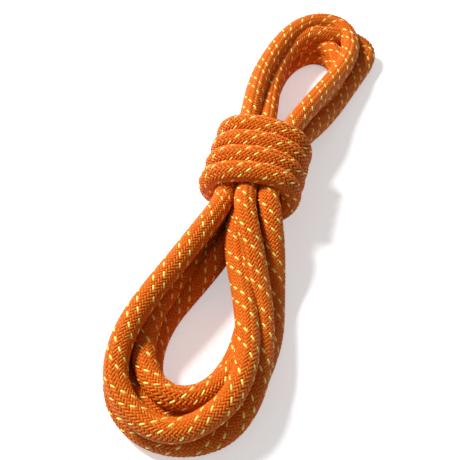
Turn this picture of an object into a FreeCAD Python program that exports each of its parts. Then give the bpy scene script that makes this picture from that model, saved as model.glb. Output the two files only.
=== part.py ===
import FreeCAD, Part
import math
import os
from FreeCAD import Placement, Rotation, Vector

# A dynamic climbing rope, 10 mm thick, wound into a hank: five long lower loops towards -Y,
# four smaller upper loops towards +Y, and four wraps round the waist, where the legs lie in
# a bundle of three by three. The hank rests at z = 0 with its long axis along Y. Sizes are in mm.

sizes = {
    "rope_diameter": 10.0,
    "rope_sides": 6,
    "bore_diameter": 6.6,
    "bore_sides": 4,
    "core_clearance": 0.2,
    "ring_sag": 0.7,
    "ring_reach": 60.0,
    "leg_gap": 0.5,
    "wrap_count": 4,
    "wrap_gap": 1.0,
    "tail_run": 10.0,
    "seal_length": 4.0,
    "seal_chamfer": 1.5,
    "least_gap": 0.4,
    "measure_step": 2.0,
    "mesh_tolerance": 0.05,
}
formulas = {
    "leg_pitch": "=rope_diameter + leg_gap",
    "wrap_pitch": "=rope_diameter + wrap_gap",
    "core_diameter": "=bore_diameter - 2 * core_clearance",
    "rest_flat": "=rope_diameter / 10",
    "floor_height": "=rope_diameter / 2 - rest_flat",
}

# Places in the hank are in tenths of the rope's thickness, so the hank grows with its rope.
# In the waist, the legs of each row end nearer the lower loops and further from them.
waist = [
    ("middle_x", 4.8), ("wraps_y", 11), ("start_end_y", 60),
    ("near_low_y", 0), ("near_middle_y", 6), ("near_high_y", 10),
    ("far_low_y", 62), ("far_middle_y", 58), ("far_high_y", 55),
]

# Each loop leaves the waist by one slot of the bundle, named by its column and row, passes
# five stations (shoulder, side, bend, side, shoulder, each x, y, z) and comes back by another.
loops = [
    ("lower_1", ("right", "low"), (18.9, -28, 4), (18, -58, 4), (-1.5, -85, 4),
     (-11.4, -60, 4), (0.8, -24, 4), ("middle", "low")),
    ("upper_1", ("middle", "low"), (14.3, 92, 4), (31.8, 118, 4), (18.6, 141.9, 4),
     (4.5, 118, 4), (-3, 92, 4), ("left", "low")),
    ("lower_2", ("left", "low"), (-21, -32, 16.2), (-23.5, -62, 12.6), (2, -98.4, 8.3),
     (37.4, -62, 9.6), (31.5, -30, 28.2), ("right", "high")),
    ("upper_2", ("right", "high"), (28.1, 90, 33.6), (37, 130, 25.6), (10.5, 178.6, 14.6),
     (-13, 124, 25), (-12.2, 90, 34.3), ("left", "high")),
    ("lower_3", ("left", "high"), (-12.5, -22, 34.7), (-27.6, -68, 22.1), (-4, -106.1, 16.5),
     (23.2, -66, 22.4), (6.1, -24, 25.3), ("middle", "middle")),
    ("upper_3", ("middle", "middle"), (16.7, 94, 22.2), (35.3, 126, 15.4), (19.4, 152.5, 8.5),
     (-7.6, 120, 8), (-10, 94, 20.6), ("left", "middle")),
    ("lower_4", ("left", "middle"), (-29.7, -36, 22.6), (-36, -62, 10.9), (2, -111.6, 7.8),
     (35.8, -66, 20.7), (14.5, -24, 35.1), ("middle", "high")),
    ("upper_4", ("middle", "high"), (1.7, 84, 33.8), (-3.9, 118, 19.7), (18.4, 163.4, 11.7),
     (47, 130, 6.9), (34.3, 100, 18.8), ("right", "middle")),
    ("lower_5", ("right", "middle"), (19.1, -24, 22.5), (24.9, -56, 13), (0.5, -90.8, 16.2),
     (-9.4, -62, 20.7), (-12.2, -30, 9), None),
]
stationNames = ("out", "side_out", "bend", "side_back", "back")
columns = {"left": -1, "middle": 0, "right": 1}
rows = {"low": 1, "middle": 2, "high": 3}
directions = {"lower": -1, "upper": 1}

doc = FreeCAD.newDocument("ClimbingRope")
sheet = doc.addObject("Spreadsheet::Sheet", "Sizes")


def fillSheet():
    entries = list(sizes.items()) + list(formulas.items())
    entries += [("waist_" + name, value) for name, value in waist]
    for loop in loops:
        for station, place in zip(stationNames, loop[2:7]):
            for axis, value in zip("xyz", place):
                entries.append((f"{loop[0]}_{station}_{axis}", value))
    for number, (alias, value) in enumerate(entries, start=1):
        sheet.set(f"A{number}", alias)
        sheet.set(f"B{number}", str(value))
        sheet.setAlias(f"B{number}", alias)
    doc.recompute()


def size(alias):
    return float(sheet.get(alias))


def place(alias):
    return size(alias) * size("rope_diameter") / 10


def slotPlace(slot, side):
    column, row = slot
    x = place("waist_middle_x") + columns[column] * size("leg_pitch")
    z = size("floor_height") + rows[row] * size("leg_pitch")
    return Vector(x, place(f"waist_{side}_{row}_y"), z)


def wrapStations():
    """Stations of the wraps: a helix round the bundle, square with round corners."""
    flat = size("leg_pitch")
    out = 2 * flat
    corner = out - flat
    bend = math.pi / 2 * corner
    runs = [flat, bend, 2 * flat, bend, 2 * flat, bend, 2 * flat, bend, flat]
    corners = [(0, -out), (flat, -out), (out, -flat), (out, flat), (flat, out), (-flat, out),
               (-out, flat), (-out, -flat), (-flat, -out), (0, -out)]
    aims = [(1, 0), (1, 0), (0, 1), (0, 1), (-1, 0), (-1, 0), (0, -1), (0, -1), (1, 0), (1, 0)]
    climb = size("wrap_pitch") / sum(runs)
    middle = Vector(place("waist_middle_x"), place("waist_wraps_y"), size("floor_height") + out)
    stations = []
    reach = 0
    for turn in range(int(size("wrap_count"))):
        for number, (corner, aim) in enumerate(zip(corners, aims)):
            if number == 0:
                continue
            reach += runs[number - 1] * climb
            point = middle + Vector(corner[0], reach, corner[1])
            stations.append((point, Vector(aim[0], climb, aim[1]).normalize()))
    return stations


def routeStations():
    """All stations of the rope with their headings, from its start end to its tail end."""
    first = slotPlace(loops[0][1], "near")
    stations = [(Vector(first.x, place("waist_start_end_y"), first.z), Vector(0, -1, 0))]
    for loop in loops:
        aim = directions[loop[0].split("_")[0]]
        side = "near" if aim < 0 else "far"
        stations.append((slotPlace(loop[1], side), Vector(0, aim, 0)))
        for station in stationNames:
            point = Vector(*(place(f"{loop[0]}_{station}_{axis}") for axis in "xyz"))
            stations.append((point, station))
        if loop[7]:
            stations.append((slotPlace(loop[7], side), Vector(0, -aim, 0)))
    stations += wrapStations()
    point, aim = stations[-1]
    stations.append((point + aim * size("tail_run"), aim))
    return [(point, headingAt(stations, number)) for number, (point, aim) in enumerate(stations)]


def headingAt(stations, number):
    """A loop's legs are straight from shoulder to side, and its bend is level and crosswise."""
    aim = stations[number][1]
    if isinstance(aim, Vector):
        return aim
    before = number if aim in ("out", "side_back") else number - 1
    after = number if aim in ("side_out", "back") else number + 1
    heading = stations[after][0] - stations[before][0]
    if aim == "bend":
        heading.y = 0
    return heading.normalize()


def arcFrom(start, heading, end):
    """Radius, angle, unit normal and centre of the arc that leaves start along heading."""
    chord = end - start
    square = chord - heading * chord.dot(heading)
    if square.Length < 1e-6 * chord.Length:
        return None
    normal = Vector(square).normalize()
    radius = chord.dot(chord) / (2 * chord.dot(normal))
    angle = 2 * math.atan2(chord.dot(normal), chord.dot(heading))
    return radius, angle, normal, start + normal * radius


def arcPoint(start, heading, end, share):
    arc = arcFrom(start, heading, end)
    if arc is None:
        return start + (end - start) * share
    radius, angle, normal, centre = arc
    turn = angle * share
    return centre + heading * (radius * math.sin(turn)) - normal * (radius * math.cos(turn))


def headingAfter(start, heading, end, share):
    arc = arcFrom(start, heading, end)
    if arc is None:
        return heading
    return heading * math.cos(arc[1] * share) + arc[2] * math.sin(arc[1] * share)


def arcLength(start, heading, end):
    arc = arcFrom(start, heading, end)
    return (end - start).Length if arc is None else abs(arc[0] * arc[1])


def jointOf(start, aimStart, end, aimEnd):
    """The point where the two arcs of a biarc with equal tangents meet."""
    span = end - start
    aims = aimStart + aimEnd
    a = 2 * (1 - aimStart.dot(aimEnd))
    b = 2 * span.dot(aims)
    c = -span.dot(span)
    if abs(a) < 1e-9:
        reach = -c / b
    else:
        reach = (-b + math.sqrt(b * b - 4 * a * c)) / (2 * a)
    return (start + aimStart * reach + end - aimEnd * reach) * 0.5


def routeArcs(stations):
    """The route as arcs, each a start, a heading at the start and an end."""
    arcs = []
    for (start, aimStart), (end, aimEnd) in zip(stations[:-1], stations[1:]):
        if (end - start).Length < 1e-3:
            continue
        if arcFrom(start, aimStart, end) is None:
            arcs.append((start, aimStart, end))
            continue
        joint = jointOf(start, aimStart, end, aimEnd)
        arcs.append((start, aimStart, joint))
        arcs.append((joint, headingAfter(start, aimStart, joint, 1), end))
    return arcs


def spineOf(arcs):
    edges = []
    for start, heading, end in arcs:
        if arcFrom(start, heading, end) is None:
            edges.append(Part.LineSegment(start, end).toShape())
        else:
            edges.append(Part.Arc(start, arcPoint(start, heading, end, 0.5), end).toShape())
    return Part.Wire(edges)


def measure(arcs):
    """Length, least gap between stretches and tightest bend, on points along the route."""
    points = []
    along = []
    length = 0
    radii = []
    for start, heading, end in arcs:
        run = arcLength(start, heading, end)
        arc = arcFrom(start, heading, end)
        if arc is not None:
            radii.append(arc[0])
        steps = max(1, round(run / size("measure_step")))
        for step in range(steps):
            points.append(arcPoint(start, heading, end, step / steps))
            along.append(length + run * step / steps)
        length += run
    diameter = size("rope_diameter")
    least = 1000.0
    for one in range(len(points)):
        other = one + 1
        while other < len(points):
            distance = points[one].distanceToPoint(points[other])
            if along[other] - along[one] > 2.6 * diameter:
                least = min(least, distance)
            other += max(1, int((distance - least) / size("measure_step")))
    return length, least - diameter, min(radii)


def ringSpread(start, heading, end):
    """How many steps from ring to ring the arc is worth, for a chord that stays near the arc."""
    arc = arcFrom(start, heading, end)
    reach = size("ring_reach")
    if arc is not None:
        reach = min(reach, math.sqrt(8 * arc[0] * size("ring_sag")))
    return arcLength(start, heading, end) / reach


def ringPlaces(arcs):
    """Places of the rings of the bore and core, closest in the tightest turns."""
    spreads = [ringSpread(*arc) for arc in arcs]
    step = sum(spreads) / math.ceil(sum(spreads))
    places = []
    passed = 0
    for arc, spread in zip(arcs, spreads):
        while len(places) * step < passed + spread + 1e-6:
            places.append(arcPoint(*arc, (len(places) * step - passed) / spread))
        passed += spread
    return places


def firstRing(place, heading, diameter, sides):
    """Corners of a regular polygon square to the heading, with the middle of one side on top."""
    upright = Vector(0, 0, 1)
    across = heading.cross(upright)
    corners = []
    for corner in range(int(sides)):
        turn = 2 * math.pi * (corner + 0.5) / sides
        offset = across * math.sin(turn) + upright * math.cos(turn)
        corners.append(place + offset * (diameter / 2))
    return corners


def mitredRings(places, heading, lastHeading, diameter):
    """Rings of corners through the places, joined by flat sides, as in a mitred frame."""
    rings = [firstRing(places[0], heading, diameter, size("bore_sides"))]
    for number in range(1, len(places)):
        run = (places[number] - places[number - 1]).normalize()
        plane = lastHeading
        if number < len(places) - 1:
            plane = run + (places[number + 1] - places[number]).normalize()
        rings.append([corner + run * ((places[number] - corner).dot(plane) / run.dot(plane))
                      for corner in rings[-1]])
    return rings


def outline(corners):
    return Part.makePolygon(corners + corners[:1])


def sideFaces(rings):
    faces = []
    for ring, nextRing in zip(rings[:-1], rings[1:]):
        for corner in range(len(ring)):
            edge = [ring[corner - 1], ring[corner], nextRing[corner], nextRing[corner - 1]]
            faces.append(Part.Face(outline(edge)))
    return faces


def solidOf(faces):
    shell = Part.Shell(faces)
    shell.sewShape()
    solid = Part.Solid(shell.Shells[0])
    if solid.Volume < 0:
        solid.reverse()
    return solid


def sheathShape(outer, rings):
    """The sheath: the swept outside, the sides of the bore and a face at each end."""
    faces = outer.shape().Faces + sideFaces(rings)
    for end, ring in ((outer.firstShape(), rings[0]), (outer.lastShape(), rings[-1])):
        rim = Part.Wire(Part.sortEdges(end.Edges)[0])
        faces.append(Part.makeFace([rim, outline(ring)], "Part::FaceMakerBullseye"))
    return solidOf(faces)


def coreShape(rings):
    return solidOf(sideFaces(rings) + [Part.Face(outline(ring)) for ring in (rings[0], rings[-1])])


def sweptOutside(arcs):
    start, heading = arcs[0][:2]
    corners = firstRing(start, heading, size("rope_diameter"), size("rope_sides"))
    outer = Part.BRepOffsetAPI.MakePipeShell(spineOf(arcs))
    outer.add(outline(corners))
    outer.build()
    return outer


def floorBox(box):
    """Everything under the rest plane, to cut the form flat there."""
    depth = size("rope_diameter")
    block = Part.makeBox(box.XLength + 2 * depth, box.YLength + 2 * depth, depth)
    block.translate(Vector(box.XMin - depth, box.YMin - depth, -depth))
    return block


def middleOf(shape):
    """Middle of the shape's box in x and y, from its mesh, so that it is exact."""
    points = shape.tessellate(size("mesh_tolerance"))[0]
    across = [point.x for point in points]
    along = [point.y for point in points]
    return Vector((min(across) + max(across)) / 2, (min(along) + max(along)) / 2, 0)


def addForm(label, shape, shift):
    form = doc.addObject("Part::Feature", label)
    form.Shape = shape
    form.Placement = Placement(shift, Rotation())
    return form


def addSeal(label, place, heading, corner):
    """The melted tip of the rope, bevelled at its free end, with one edge at the corner given."""
    tip = doc.addObject("Part::Prism", label + "_tip")
    tip.setExpression("Polygon", "Sizes.rope_sides")
    tip.setExpression("Circumradius", "Sizes.rope_diameter / 2")
    tip.setExpression("Height", "Sizes.seal_length")
    outward = corner - place
    tip.Placement = Placement(place, Rotation(outward, heading.cross(outward), heading, "ZXY"))
    doc.recompute()
    free = place + heading * size("seal_length")
    rims = [number for number, edge in enumerate(tip.Shape.Edges, start=1)
            if abs((edge.CenterOfMass - free).dot(heading)) < size("seal_chamfer") / 2]
    seal = doc.addObject("Part::Chamfer", label)
    seal.Base = tip
    seal.Edges = [(number, size("seal_chamfer"), size("seal_chamfer")) for number in rims]
    return seal


def addFloorCut(label, seal, place):
    """The seal cut flat where it rests."""
    block = doc.addObject("Part::Box", label + "_floor")
    block.setExpression("Length", "Sizes.rope_diameter * 4")
    block.setExpression("Width", "Sizes.rope_diameter * 4")
    block.setExpression("Height", "Sizes.rope_diameter")
    reach = size("rope_diameter")
    block.Placement.Base = Vector(place.x - 2 * reach, place.y - 2 * reach, -reach)
    cut = doc.addObject("Part::Cut", label)
    cut.Base = seal
    cut.Tool = block
    return cut


def checkAndExport(pieces):
    os.makedirs("parts", exist_ok=True)
    for name, piece in pieces.items():
        piece.Label = name
        shape = piece.Shape
        if "Invalid" in piece.State or not shape.isValid() or len(shape.Solids) != 1:
            raise ValueError(name + " is not one valid solid")
        shape.exportStep(f"parts/{name}.step")
        box = shape.BoundBox
        print(f"{name}: x {box.XMin:.1f} to {box.XMax:.1f}, y {box.YMin:.1f} to {box.YMax:.1f}, "
              f"z {box.ZMin:.2f} to {box.ZMax:.1f}, {shape.Volume:.0f} mm3")


fillSheet()
stations = routeStations()
arcs = routeArcs(stations)
length, gap, radius = measure(arcs)
print(f"rope length {length:.0f} mm, least gap {gap:.2f} mm, tightest bend {radius:.1f} mm")
if gap < size("least_gap"):
    raise ValueError("two turns of the rope are too close")
startPlace, startHeading = stations[0]
tailPlace, tailHeading = stations[-1]
places = ringPlaces(arcs)
outer = sweptOutside(arcs)
whole = sheathShape(outer, mitredRings(places, startHeading, tailHeading, size("bore_diameter")))
core = coreShape(mitredRings(places, startHeading, tailHeading, size("core_diameter")))
sheath = whole.cut(floorBox(whole.BoundBox))
shift = middleOf(sheath) * -1
print(f"shift x {shift.x:.2f}, y {shift.y:.2f}")
startCorner = outer.firstShape().Vertexes[0].Point
tailCorner = outer.lastShape().Vertexes[0].Point
tailSeal = addSeal("TailSealWhole", tailPlace + shift, tailHeading, tailCorner + shift)
pieces = {
    "rope_sheath": addForm("RopeSheath", sheath.Solids[0], shift),
    "rope_core": addForm("RopeCore", core, shift),
    "start_end_seal": addSeal("StartSeal", startPlace + shift, startHeading * -1, startCorner + shift),
    "tail_end_seal": addFloorCut("TailSeal", tailSeal, tailPlace + shift),
}
doc.recompute()
checkAndExport(pieces)
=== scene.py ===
import math

import bmesh
import bpy
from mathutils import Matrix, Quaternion, Vector


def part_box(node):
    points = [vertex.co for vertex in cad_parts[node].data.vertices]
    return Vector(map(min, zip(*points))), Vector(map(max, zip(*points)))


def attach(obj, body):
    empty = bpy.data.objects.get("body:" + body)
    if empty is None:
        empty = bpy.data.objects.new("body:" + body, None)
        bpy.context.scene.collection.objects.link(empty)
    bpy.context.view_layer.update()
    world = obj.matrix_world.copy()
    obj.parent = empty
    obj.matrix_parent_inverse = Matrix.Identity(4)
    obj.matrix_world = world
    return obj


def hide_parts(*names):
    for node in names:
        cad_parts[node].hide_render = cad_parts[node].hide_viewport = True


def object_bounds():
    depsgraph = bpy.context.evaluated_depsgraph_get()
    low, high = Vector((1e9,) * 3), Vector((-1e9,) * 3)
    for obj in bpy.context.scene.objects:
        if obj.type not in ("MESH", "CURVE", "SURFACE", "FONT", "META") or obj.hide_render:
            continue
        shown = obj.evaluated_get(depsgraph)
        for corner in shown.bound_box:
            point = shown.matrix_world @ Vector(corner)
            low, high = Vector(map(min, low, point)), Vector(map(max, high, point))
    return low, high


# A climbing rope wound into a hank. The rope is one line, and every yarn of its braid
# follows that line. Sizes are in metres, and the route's own places are in millimetres.

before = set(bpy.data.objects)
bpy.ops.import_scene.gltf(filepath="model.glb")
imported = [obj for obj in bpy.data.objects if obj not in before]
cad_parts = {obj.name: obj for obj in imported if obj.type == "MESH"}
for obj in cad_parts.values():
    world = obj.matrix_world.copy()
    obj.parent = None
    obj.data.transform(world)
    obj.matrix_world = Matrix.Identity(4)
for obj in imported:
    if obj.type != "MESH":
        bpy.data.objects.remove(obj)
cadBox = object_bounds()
mm = 0.001

rope = {
    "diameter": 10 * mm,
    "crestRadius": 5.5 * mm,    # the braid bulges over the nominal size
    "bodySides": 16,
    "lineOrder": 3,
    "lineSteps": 8,
}

# The bundle of straight legs in the waist, three across and three high.
waist = {
    "x": 5.0,
    "z": 12.5,
    "pitch": 10.0,
    "rise": 8.0,
    "nearY": 14.0,
    "farY": 44.0,
    "startEnd": (15.3, 60, 14.5),
}
slotColumns = {"left": -1, "middle": 0, "right": 1}
slotRows = {"low": 0, "middle": 1, "high": 2}

# Each lower loop comes down a slot of the bundle, passes its own points (x, y, z) and goes
# back up another slot, into the upper loop beside it. The last one runs into the wraps.
loops = [
    {"down": ("right", "low"),
     "lower": [(17, -2, 10), (19, -17, 7), (20, -34, 5.5), (21.5, -52, 5.5), (20.5, -69, 5.5),
               (14, -84, 5.5), (3, -91, 5.5), (-8, -91.5, 5.5), (-15, -84, 5.5), (-18, -70, 5.5),
               (-16, -54, 6), (-9, -39, 9), (-1.5, -22, 12), (3.5, -5, 13)],
     "up": ("middle", "low"),
     "upper": [(10, 62, 12), (18, 81, 9), (25, 101, 6.5), (31, 119, 5.5), (33.5, 133, 5.5),
               (28, 144, 5.5), (17, 147, 5.5), (8, 142, 5.5), (1, 131, 5.5), (-2.5, 118, 5.5),
               (-3, 104, 5.5), (-2.5, 90, 6), (-3, 75, 8), (-5, 60, 11)]},
    {"down": ("left", "low"),
     "lower": [(-8, -2, 12), (-13, -18, 10), (-19, -34, 8), (-25, -50, 6.5), (-28, -66, 5.5),
               (-27, -80, 7), (-21, -92, 9.5), (-11, -99.5, 10.5), (1, -101.5, 9), (13, -97, 6),
               (23, -90.5, 5.5), (31, -80, 5.5), (33.5, -65, 5.5), (34, -50, 5.5), (31.5, -37, 7),
               (28.5, -24, 12), (25, -11, 21), (20, 2, 29)],
     "up": ("right", "high"),
     "upper": [(18, 60, 29.5), (23.5, 77, 28.5), (27.5, 95, 23), (32, 112, 19.5), (36.5, 128, 18),
               (37.5, 143.5, 17), (34, 156.5, 17), (26, 163, 18), (16, 161.5, 19.5), (7.5, 155, 21),
               (1, 144.5, 22), (-3.5, 131, 23), (-6.5, 115.5, 24), (-8, 96, 26.5), (-7, 77, 30),
               (-5, 58, 30.5)]},
    {"down": ("left", "high"),
     "lower": [(-5, 8, 25), (-6, -2, 27.5), (-9, -16, 30.5), (-14.5, -35, 31), (-21.5, -54, 29.5),
               (-26.5, -69, 27), (-28, -82, 24.5), (-26, -94, 22), (-19, -103, 20), (-10, -108.5, 18.5),
               (0, -110.5, 18), (10, -108, 18.5), (19, -100.5, 20.5), (25.5, -91, 23), (27.5, -78, 24),
               (26, -66, 23.5), (22, -53, 22.5), (16.5, -38.5, 21), (10, -24.5, 21), (5, -10, 22),
               (4.5, 5, 20.5)],
     "up": ("middle", "middle"),
     "upper": [(12, 58, 21.5), (20, 75, 19), (25.5, 93, 15), (30.5, 108, 13), (34, 124, 12),
               (31.5, 138.5, 12), (24, 148, 12), (14, 148.5, 12.5), (5, 142.5, 13), (-1, 132, 13),
               (-3.5, 118.5, 13), (-4, 102.5, 13), (-3.5, 88, 14), (-3.5, 73, 16), (-5, 58, 19.5)]},
    {"down": ("left", "middle"),
     "lower": [(-7.5, -2, 21), (-12.5, -17, 22), (-18.5, -34, 20.5), (-25, -51, 18), (-29.5, -66, 16),
               (-30.5, -79, 14.5), (-28.5, -91, 12), (-24, -101, 9), (-16, -107.5, 6.5), (-6, -111, 5.5),
               (5, -111, 5.5), (16, -107.5, 5.5), (25, -101, 6.5), (30.5, -92, 10), (33, -81, 14.5),
               (32.5, -67, 16.5), (29.5, -52, 17), (24, -36, 19.5), (17, -21, 27), (10.5, -8, 32),
               (6, 5, 31.5)],
     "up": ("middle", "high"),
     "upper": [(4, 58, 27.5), (2, 74, 24.5), (-0.5, 91, 21), (-1.5, 108, 18.5), (0, 124, 17.5),
               (4, 139, 18), (11, 149, 18.5), (20.5, 152, 17.5), (31, 156, 14.5), (40.5, 157.5, 11),
               (47, 155, 8), (47.5, 146, 6.5), (43.5, 133, 5.5), (39.5, 118, 6), (35.5, 102.5, 7.5),
               (31, 85.5, 11.5), (25, 66.5, 18)]},
    {"down": ("right", "middle"),
     "lower": [(18.5, -2, 19), (21.5, -16, 14), (25, -32, 9), (25.5, -50, 10), (25, -66, 12),
               (19.5, -81, 13), (11, -92, 16), (0, -96.5, 18), (-11, -91, 17.5), (-18.5, -80.5, 17),
               (-21, -68, 16), (-21, -55, 15), (-17.5, -41, 13), (-12, -27, 10), (-6, -12, 6)]},
]

# The wraps: rounded squares round the bundle that lean less and less, turn by turn.
wraps = {
    "turns": 4,
    "pointsPerTurn": 12,
    "x": 5.5,
    "y": 12.5,
    "z": 22.5,
    "wide": 21.5,
    "high": 15.5,
    "squareness": 2.4,
    "pitch": 10.3,
    "lean": 5.0,
    "ease": 1.1,
    "tail": [(9, 54, 6), (16, 55, 5.5)],
}


# The two ends of a straight leg through the waist.
def legPlaces(slot):
    column, row = slot
    x = waist["x"] + slotColumns[column] * waist["pitch"]
    z = waist["z"] + slotRows[row] * waist["rise"]
    return [(x, waist["nearY"], z), (x, waist["farY"], z)]


# The wraps start at the bottom and climb the right side.
def wrapPlaces():
    places = []
    power = 2 / wraps["squareness"]
    for number in range(wraps["turns"] * wraps["pointsPerTurn"] + 1):
        turns = number / wraps["pointsPerTurn"]
        side = math.sin(2 * math.pi * turns)
        rise = -math.cos(2 * math.pi * turns)
        out = math.copysign(abs(side) ** power, side)
        lift = math.copysign(abs(rise) ** power, rise)
        lean = wraps["lean"] - wraps["ease"] * turns
        places.append((wraps["x"] + wraps["wide"] * out,
                       wraps["y"] + wraps["pitch"] * turns + lean * out,
                       wraps["z"] + wraps["high"] * lift))
    return places


# Control points of the rope's spline in the frame, and how far the route is shifted into it:
# its start is set on the start's own solid.
def routePoints():
    places = [waist["startEnd"]]
    for loop in loops:
        near, far = legPlaces(loop["down"])
        places += [far, near] + loop["lower"]
        if "up" in loop:
            places += legPlaces(loop["up"]) + loop["upper"]
    places += wrapPlaces() + wraps["tail"]
    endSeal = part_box("start_end_seal")
    shift = Vector((sum(corner[0] for corner in endSeal) / 2 - waist["startEnd"][0] * mm,
                    min(corner[1] for corner in endSeal) - waist["startEnd"][1] * mm, 0))
    return [Vector(place) * mm + shift for place in places], shift


# The rope's line as a smooth spline, and the points that it passes.
def addLine(points):
    data = bpy.data.curves.new("ropeLine", "CURVE")
    data.dimensions = "3D"
    spline = data.splines.new("NURBS")
    spline.points.add(len(points) - 1)
    for control, point in zip(spline.points, points):
        control.co = (*point, 1)
    spline.order_u = rope["lineOrder"]
    spline.use_endpoint_u = True
    data.resolution_u = rope["lineSteps"]
    line = bpy.data.objects.new("ropeLine", data)
    bpy.context.scene.collection.objects.link(line)
    bpy.context.view_layer.update()
    mesh = bpy.data.meshes.new_from_object(line)
    passed = [vertex.co.copy() for vertex in mesh.vertices]
    bpy.data.meshes.remove(mesh)
    bpy.data.objects.remove(line)
    return passed


# The braid: columns of floats along the rope that lean by turns to either side.
braid = {
    "columns": 20,
    "rowStep": 1.95 * mm,
    "floatLength": 3.6 * mm,
    "floatWidth": 1.45 * mm,
    "floatRise": 0.85 * mm,
    "bodyRadius": 4.7 * mm,
    "sunk": 0.05 * mm,
    "edgeDrop": 0.95,
    "lean": 42.0,
    "lengthSteps": 6,
    "widthSteps": 4,
    "stretches": 8,
    "twist": 0.5,
    "twistReach": 120 * mm,
}


# Rows at an even step along the line, each a place, a heading and a side that turns slowly.
def evenRows(passed, step):
    lengths = [0.0]
    for one, other in zip(passed[:-1], passed[1:]):
        lengths.append(lengths[-1] + (other - one).length)
    count = int(lengths[-1] / step)
    places = []
    span = 0
    for number in range(count + 1):
        along = lengths[-1] * number / count
        while span < len(lengths) - 2 and lengths[span + 1] < along:
            span += 1
        share = (along - lengths[span]) / max(lengths[span + 1] - lengths[span], 1e-9)
        places.append(passed[span].lerp(passed[span + 1], share))
    headings = []
    for number in range(count + 1):
        before = places[max(number - 1, 0)]
        after = places[min(number + 1, count)]
        headings.append((after - before).normalized())
    side = headings[0].orthogonal().normalized()
    rowList = []
    for number, (place, heading) in enumerate(zip(places, headings)):
        side = (side - heading * side.dot(heading)).normalized()
        twist = braid["twist"] * math.sin(number * step / braid["twistReach"])
        rowList.append((place, heading, Quaternion(heading, twist) @ side))
    return rowList, lengths[-1]


def addMesh(name, form):
    mesh = bpy.data.meshes.new(name)
    form.to_mesh(mesh)
    form.free()
    for polygon in mesh.polygons:
        polygon.use_smooth = True
    piece = bpy.data.objects.new(name, mesh)
    bpy.context.scene.collection.objects.link(piece)
    return piece


# A smooth closed tube round the rows, with one radius for each.
def addTube(name, rowList, radii, sides):
    form = bmesh.new()
    rings = []
    for (place, heading, side), radius in zip(rowList, radii):
        across = heading.cross(side)
        ring = []
        for corner in range(sides):
            turn = 2 * math.pi * corner / sides
            ring.append(form.verts.new(place + (side * math.cos(turn) + across * math.sin(turn)) * radius))
        rings.append(ring)
    for one, other in zip(rings[:-1], rings[1:]):
        for corner in range(sides):
            following = (corner + 1) % sides
            form.faces.new((one[corner], one[following], other[following], other[corner]))
    form.faces.new(reversed(rings[0]))
    form.faces.new(rings[-1])
    return addMesh(name, form)


# The rounded top of one float, sampled along and across it: how far along the rope,
# how far round it and how high each point lies.
def floatPoint(along, across, hand):
    lean = math.radians(braid["lean"])
    width = braid["floatWidth"] / 2 * (1 - abs(along) ** 4) ** 0.5
    flatLong = along * braid["floatLength"] / 2
    flatWide = across * width
    axial = flatLong * math.cos(lean) - flatWide * math.sin(lean) * hand
    around = flatLong * math.sin(lean) * hand + flatWide * math.cos(lean)
    rise = braid["floatRise"] * (1 - along ** 4) ** 0.5 * (1 - braid["edgeDrop"] * across ** 2) ** 0.5
    return axial, around, rise


# One row of the braid: a float in each column, every other one half a row further on.
def addFloatRing():
    form = bmesh.new()
    columnLayer = form.verts.layers.float.new("column")
    alongLayer = form.verts.layers.float.new("along")
    acrossLayer = form.verts.layers.float.new("across")
    for column in range(braid["columns"]):
        hand = 1 if column % 2 == 0 else -1
        stagger = column % 2 * braid["rowStep"] / 2
        grid = []
        for i in range(braid["lengthSteps"] + 1):
            along = i / braid["lengthSteps"] * 2 - 1
            line = []
            for j in range(braid["widthSteps"] + 1):
                across = j / braid["widthSteps"] * 2 - 1
                axial, around, rise = floatPoint(along, across, hand)
                radius = braid["bodyRadius"] - braid["sunk"] + rise
                turn = 2 * math.pi * column / braid["columns"] + around / rope["crestRadius"]
                vertex = form.verts.new((math.cos(turn) * radius, math.sin(turn) * radius, axial + stagger))
                vertex[columnLayer] = column
                vertex[alongLayer] = along
                vertex[acrossLayer] = across
                line.append(vertex)
            grid.append(line)
        for one, other in zip(grid[:-1], grid[1:]):
            for j in range(braid["widthSteps"]):
                form.faces.new((one[j], one[j + 1], other[j + 1], other[j]))
    bmesh.ops.remove_doubles(form, verts=form.verts, dist=1e-7)
    bmesh.ops.recalc_face_normals(form, faces=form.faces)
    return addMesh("floatRing", form)


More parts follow.
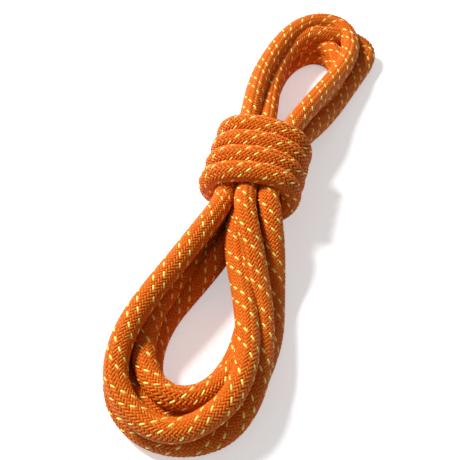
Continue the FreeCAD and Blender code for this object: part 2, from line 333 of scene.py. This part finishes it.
# A tree that puts one ring of floats on each row of points and gives it the yarn's material.
def rowTree():
    tree = bpy.data.node_groups.new("braidRows", "GeometryNodeTree")
    tree.interface.new_socket("Rows", in_out="INPUT", socket_type="NodeSocketGeometry")
    tree.interface.new_socket("Ring", in_out="INPUT", socket_type="NodeSocketObject")
    tree.interface.new_socket("Ring Size", in_out="INPUT", socket_type="NodeSocketFloat")
    tree.interface.new_socket("Yarn", in_out="INPUT", socket_type="NodeSocketMaterial")
    tree.interface.new_socket("Braid", in_out="OUTPUT", socket_type="NodeSocketGeometry")
    nodes = tree.nodes
    links = tree.links
    source = nodes.new("NodeGroupInput")
    result = nodes.new("NodeGroupOutput")
    info = nodes.new("GeometryNodeObjectInfo")
    aim = nodes.new("GeometryNodeInputNamedAttribute")
    aim.data_type = "FLOAT_VECTOR"
    aim.inputs["Name"].default_value = "aim"
    side = nodes.new("GeometryNodeInputNamedAttribute")
    side.data_type = "FLOAT_VECTOR"
    side.inputs["Name"].default_value = "side"
    turn = nodes.new("FunctionNodeAxesToRotation")
    turn.primary_axis = "Z"
    turn.secondary_axis = "X"
    place = nodes.new("GeometryNodeInstanceOnPoints")
    realize = nodes.new("GeometryNodeRealizeInstances")
    paint = nodes.new("GeometryNodeSetMaterial")
    links.new(source.outputs["Rows"], place.inputs["Points"])
    links.new(source.outputs["Ring"], info.inputs["Object"])
    links.new(source.outputs["Ring Size"], place.inputs["Scale"])
    links.new(source.outputs["Yarn"], paint.inputs["Material"])
    links.new(info.outputs["Geometry"], place.inputs["Instance"])
    links.new(aim.outputs["Attribute"], turn.inputs["Primary Axis"])
    links.new(side.outputs["Attribute"], turn.inputs["Secondary Axis"])
    links.new(turn.outputs["Rotation"], place.inputs["Rotation"])
    links.new(place.outputs["Instances"], realize.inputs["Geometry"])
    links.new(realize.outputs["Geometry"], paint.inputs["Geometry"])
    links.new(paint.outputs["Geometry"], result.inputs["Braid"])
    return tree


# The tree's input sockets by name, each as the modifier knows it.
def socketKeys(tree):
    return {item.name: item.identifier for item in tree.interface.items_tree if item.in_out == "INPUT"}


# A named value on each point of the mesh.
def setAttribute(mesh, name, kind, values):
    layer = mesh.attributes.new(name, kind, "POINT")
    for item, value in zip(layer.data, values):
        if kind == "FLOAT_VECTOR":
            item.vector = value
        else:
            item.value = value


# The braid is cut into stretches along the rope, so that no piece is too heavy.
def addBraid(rowList, ring, material):
    tree = rowTree()
    keys = socketKeys(tree)
    pieces = []
    for stretch in range(braid["stretches"]):
        first = len(rowList) * stretch // braid["stretches"]
        last = len(rowList) * (stretch + 1) // braid["stretches"]
        mesh = bpy.data.meshes.new("rowPoints")
        mesh.from_pydata([row[0] for row in rowList[first:last]], [], [])
        setAttribute(mesh, "aim", "FLOAT_VECTOR", [row[1] for row in rowList[first:last]])
        setAttribute(mesh, "side", "FLOAT_VECTOR", [row[2] for row in rowList[first:last]])
        setAttribute(mesh, "row", "FLOAT", range(first, last))
        holder = bpy.data.objects.new("rowHolder", mesh)
        bpy.context.scene.collection.objects.link(holder)
        modifier = holder.modifiers.new("rows", "NODES")
        modifier.node_group = tree
        modifier[keys["Ring"]] = ring
        modifier[keys["Ring Size"]] = 1.0
        modifier[keys["Yarn"]] = material
        bpy.context.view_layer.update()
        shaped = bpy.data.meshes.new_from_object(
            holder.evaluated_get(bpy.context.evaluated_depsgraph_get()))
        name = f"braid_{stretch + 1}"
        shaped.name = name
        piece = bpy.data.objects.new(name, shaped)
        bpy.context.scene.collection.objects.link(piece)
        bpy.data.objects.remove(holder)
        pieces.append(piece)
    return pieces


seal = {
    "length": 4 * mm,
    "width": 0.97,
    "tipTaper": 0.75,
    "rings": 6,
    "sides": 20,
}


# A melted end: a short plug on the rope's own row that closes to a blunt round tip. The tube
# runs along the heading, so the start's plug is listed from its tip.
def addMelt(name, row, outward):
    place, heading, side = row
    plugRows = []
    radii = []
    for number in range(seal["rings"] + 1):
        share = number / seal["rings"]
        plugRows.append((place + heading * outward * seal["length"] * share, heading, side))
        radii.append(rope["crestRadius"] * seal["width"] * (1 - share ** 3 * seal["tipTaper"]) ** 0.5)
    if outward < 0:
        plugRows.reverse()
        radii.reverse()
    return addTube(name, plugRows, radii, seal["sides"])


def newMaterial(name):
    material = bpy.data.materials.new(name)
    material.use_nodes = True
    shader = material.node_tree.nodes["Principled BSDF"]
    return material, material.node_tree, shader


def setInput(tree, socket, value):
    if isinstance(value, bpy.types.NodeSocket):
        tree.links.new(value, socket)
    else:
        socket.default_value = value


def mathNode(tree, operation, first, second=None):
    node = tree.nodes.new("ShaderNodeMath")
    node.operation = operation
    setInput(tree, node.inputs[0], first)
    if second is not None:
        setInput(tree, node.inputs[1], second)
    return node.outputs[0]


def attribute(tree, name):
    node = tree.nodes.new("ShaderNodeAttribute")
    node.attribute_name = name
    return node.outputs["Fac"]


def mixColor(tree, share, first, second):
    node = tree.nodes.new("ShaderNodeMix")
    node.data_type = "RGBA"
    setInput(tree, node.inputs["Factor"], share)
    setInput(tree, node.inputs[6], first)
    setInput(tree, node.inputs[7], second)
    return node.outputs[2]


def joined(tree, x, y, z):
    node = tree.nodes.new("ShaderNodeCombineXYZ")
    for socket, value in zip(node.inputs, (x, y, z)):
        setInput(tree, socket, value)
    return node.outputs[0]


def noiseNode(tree, place, scale, detail):
    node = tree.nodes.new("ShaderNodeTexNoise")
    node.inputs["Scale"].default_value = scale
    node.inputs["Detail"].default_value = detail
    setInput(tree, node.inputs["Vector"], place)
    return node.outputs["Fac"]


def addBump(tree, shader, height, strength, distance):
    node = tree.nodes.new("ShaderNodeBump")
    node.inputs["Strength"].default_value = strength
    node.inputs["Distance"].default_value = distance
    tree.links.new(height, node.inputs["Height"])
    tree.links.new(node.outputs["Normal"], shader.inputs["Normal"])


# A colour as it shows, in 0 to 255, as the shader takes it.
def linear(red, green, blue):
    parts = []
    for part in (red, green, blue):
        share = part / 255
        parts.append(share / 12.92 if share <= 0.04045 else ((share + 0.055) / 1.055) ** 2.4)
    return (*parts, 1.0)


# Orange yarns of many fibres. Of every ten yarns in one hand, two are yellow tracers,
# an equal reach to either side of the middle one.
yarn = {
    "darkOrange": linear(216, 104, 14),
    "lightOrange": linear(236, 122, 28),
    "fibreShade": linear(204, 92, 4),
    "tracerYellow": linear(255, 232, 120),
    "sheen": linear(255, 205, 160),
    "tracerRepeat": 10,
    "tracerMiddle": 4,
    "tracerReach": 2,
    "leastTracer": 0.45,
    "tracerSpread": 0.6,
    "fibresAcross": 4.0,
    "fibresAlong": 0.5,
    "fibreScale": 1.6,
    "columnOffset": 3.7,
    "roughness": 0.45,
    "specular": 0.5,
    "bump": 0.5,
    "bumpDepth": 0.12 * mm,
}


# One where a float belongs to a tracer yarn, which the yarn's own number tells.
def tracerShare(tree, row, column, hand):
    number = mathNode(tree, "SUBTRACT", row, mathNode(tree, "MULTIPLY", hand, column))
    place = mathNode(tree, "FLOORED_MODULO", number, yarn["tracerRepeat"])
    fromMiddle = mathNode(tree, "ABSOLUTE", mathNode(tree, "SUBTRACT", place, yarn["tracerMiddle"]))
    miss = mathNode(tree, "ABSOLUTE", mathNode(tree, "SUBTRACT", fromMiddle, yarn["tracerReach"]))
    chosen = mathNode(tree, "LESS_THAN", miss, 0.5)
    return mathNode(tree, "MULTIPLY", chosen, mathNode(tree, "LESS_THAN", hand, 0))


def yarnMaterial():
    material, tree, shader = newMaterial("yarn")
    row = attribute(tree, "row")
    column = attribute(tree, "column")
    across = attribute(tree, "across")
    along = attribute(tree, "along")
    hand = mathNode(tree, "SUBTRACT", 1, mathNode(tree, "MULTIPLY", mathNode(tree, "MODULO", column, 2), 2))
    own = tree.nodes.new("ShaderNodeTexWhiteNoise")
    own.noise_dimensions = "3D"
    tree.links.new(joined(tree, row, column, 0.0), own.inputs["Vector"])
    floatOffset = mathNode(tree, "ADD", row, mathNode(tree, "MULTIPLY", column, yarn["columnOffset"]))
    fibrePlace = joined(tree, mathNode(tree, "MULTIPLY", across, yarn["fibresAcross"]),
                        mathNode(tree, "MULTIPLY", along, yarn["fibresAlong"]), floatOffset)
    fibres = noiseNode(tree, fibrePlace, yarn["fibreScale"], 3)
    orange = mixColor(tree, own.outputs["Value"], yarn["darkOrange"], yarn["lightOrange"])
    shaded = mixColor(tree, fibres, orange, yarn["fibreShade"])
    tracer = tracerShare(tree, row, column, hand)
    reach = mathNode(tree, "ADD", yarn["leastTracer"],
                     mathNode(tree, "MULTIPLY", own.outputs["Value"], yarn["tracerSpread"]))
    strip = mathNode(tree, "LESS_THAN", mathNode(tree, "ABSOLUTE", across), reach)
    color = mixColor(tree, mathNode(tree, "MULTIPLY", tracer, strip), shaded, yarn["tracerYellow"])
    tree.links.new(color, shader.inputs["Base Color"])
    shader.inputs["Roughness"].default_value = yarn["roughness"]
    shader.inputs["Specular IOR Level"].default_value = yarn["specular"]
    shader.inputs["Specular Tint"].default_value = yarn["sheen"]
    addBump(tree, shader, fibres, yarn["bump"], yarn["bumpDepth"])
    return material


# Painted shade for the rope body between the floats: darkened orange, with random specks.
braidPaintedShade = {
    "dark": linear(150, 58, 6),
    "light": linear(180, 74, 8),
    "speckScale": 900.0,
    "roughness": 0.8,
}


# What shows between the yarns: painted shade, the yarn's own orange darkened to the brown it shows in their
# shadow.
def paintedShadeMaterial():
    material, tree, shader = newMaterial("braidPaintedShade")
    texture = tree.nodes.new("ShaderNodeTexCoord")
    specks = noiseNode(tree, texture.outputs["Object"], braidPaintedShade["speckScale"], 2)
    color = mixColor(tree, specks, braidPaintedShade["dark"], braidPaintedShade["light"])
    tree.links.new(color, shader.inputs["Base Color"])
    shader.inputs["Roughness"].default_value = braidPaintedShade["roughness"]
    return material


meltedRope = {
    "dark": linear(96, 30, 8),
    "light": linear(168, 66, 18),
    "lumpScale": 420.0,
    "roughness": 0.3,
    "bump": 0.6,
    "bumpDepth": 0.5 * mm,
}


# Melted and hardened rope: darker, smooth and a little lumpy.
def meltMaterial():
    material, tree, shader = newMaterial("meltedRope")
    texture = tree.nodes.new("ShaderNodeTexCoord")
    lumps = noiseNode(tree, texture.outputs["Object"], meltedRope["lumpScale"], 3)
    color = mixColor(tree, lumps, meltedRope["dark"], meltedRope["light"])
    tree.links.new(color, shader.inputs["Base Color"])
    shader.inputs["Roughness"].default_value = meltedRope["roughness"]
    addBump(tree, shader, lumps, meltedRope["bump"], meltedRope["bumpDepth"])
    return material


view = {
    "elevation": 55.0,
    "turn": 15.0,
    "focalPixels": 700.0,
    "framePixels": 460.0,
    "distance": 0.357,
    "planeHeight": 0.010,
}


def addCamera(shift):
    lift = math.radians(view["elevation"])
    turn = math.radians(view["turn"])
    ahead = Vector((-math.sin(turn) * math.cos(lift), math.cos(turn) * math.cos(lift), -math.sin(lift)))
    target = Vector((0, 0, view["planeHeight"])) + shift
    camera = bpy.data.objects.new("camera", bpy.data.cameras.new("camera"))
    camera.location = target - ahead * view["distance"]
    camera.rotation_euler = ahead.to_track_quat("-Z", "Y").to_euler()
    camera.data.angle = 2 * math.atan(view["framePixels"] / 2 / view["focalPixels"])
    camera.data.clip_start = 0.01
    camera.data.clip_end = 20
    bpy.context.scene.collection.objects.link(camera)
    bpy.context.scene.camera = camera


studio = {
    "floorSize": 3,
    "floorTone": (0.95, 0.95, 0.95, 1),
    "floorRoughness": 0.9,
    "floorGlow": 0.45,
    "skyStrength": 0.24,
    "keyPower": 12,
    "keySize": 0.2,
    "keyPlace": (-0.55, 0.12, 0.75),
}


# A plain pale floor that glows a little for the camera, so that it shows white and still
# keeps the shadow.
def addFloor():
    form = bmesh.new()
    bmesh.ops.create_grid(form, x_segments=1, y_segments=1, size=studio["floorSize"])
    floor = addMesh("floor", form)
    material, tree, shader = newMaterial("floor")
    shader.inputs["Base Color"].default_value = studio["floorTone"]
    shader.inputs["Roughness"].default_value = studio["floorRoughness"]
    shader.inputs["Emission Color"].default_value = (1, 1, 1, 1)
    seen = tree.nodes.new("ShaderNodeLightPath")
    glow = mathNode(tree, "MULTIPLY", seen.outputs["Is Camera Ray"], studio["floorGlow"])
    tree.links.new(glow, shader.inputs["Emission Strength"])
    floor.data.materials.append(material)
    floor.location.z = min(corner[2] for corner in cadBox)


def addLights():
    world = bpy.data.worlds.new("studio")
    bpy.context.scene.world = world
    world.use_nodes = True
    sky = world.node_tree.nodes["Background"]
    sky.inputs["Color"].default_value = (1, 1, 1, 1)
    sky.inputs["Strength"].default_value = studio["skyStrength"]
    lamp = bpy.data.lights.new("key", "AREA")
    lamp.energy = studio["keyPower"]
    lamp.size = studio["keySize"]
    key = bpy.data.objects.new("key", lamp)
    key.location = studio["keyPlace"]
    key.rotation_euler = (-key.location).to_track_quat("-Z", "Y").to_euler()
    bpy.context.scene.collection.objects.link(key)


points, shift = routePoints()
rowList, length = evenRows(addLine(points), braid["rowStep"])
print(f"rope line {length:.3f} m, {len(rowList)} rows, {len(points)} control points")

body = addTube("rope_body", rowList, [braid["bodyRadius"]] * len(rowList), rope["bodySides"])
# The body under the floats carries the painted shade between the yarns.
body.data.materials.append(paintedShadeMaterial())
print("rope body", len(body.data.polygons), "faces")

ring = addFloatRing()
braidPieces = addBraid(rowList, ring, yarnMaterial())
bpy.data.objects.remove(ring)
print("braid", sum(len(piece.data.polygons) for piece in braidPieces), "faces")

melted = meltMaterial()
startMelt = addMelt("start_melt", rowList[0], -1)
tailMelt = addMelt("tail_melt", rowList[-1], 1)
for melt, node in ((startMelt, "start_end_seal"), (tailMelt, "tail_end_seal")):
    melt.data.materials.append(melted)
    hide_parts(node)
    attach(melt, "root")
print("melted ends")

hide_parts("rope_sheath", "rope_core")
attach(body, "root")
for piece in braidPieces:
    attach(piece, "root")
print("pieces named for the frame")

addCamera(shift)
addFloor()
addLights()
bpy.context.scene.view_settings.view_transform = "Standard"
print("camera, floor and lights")
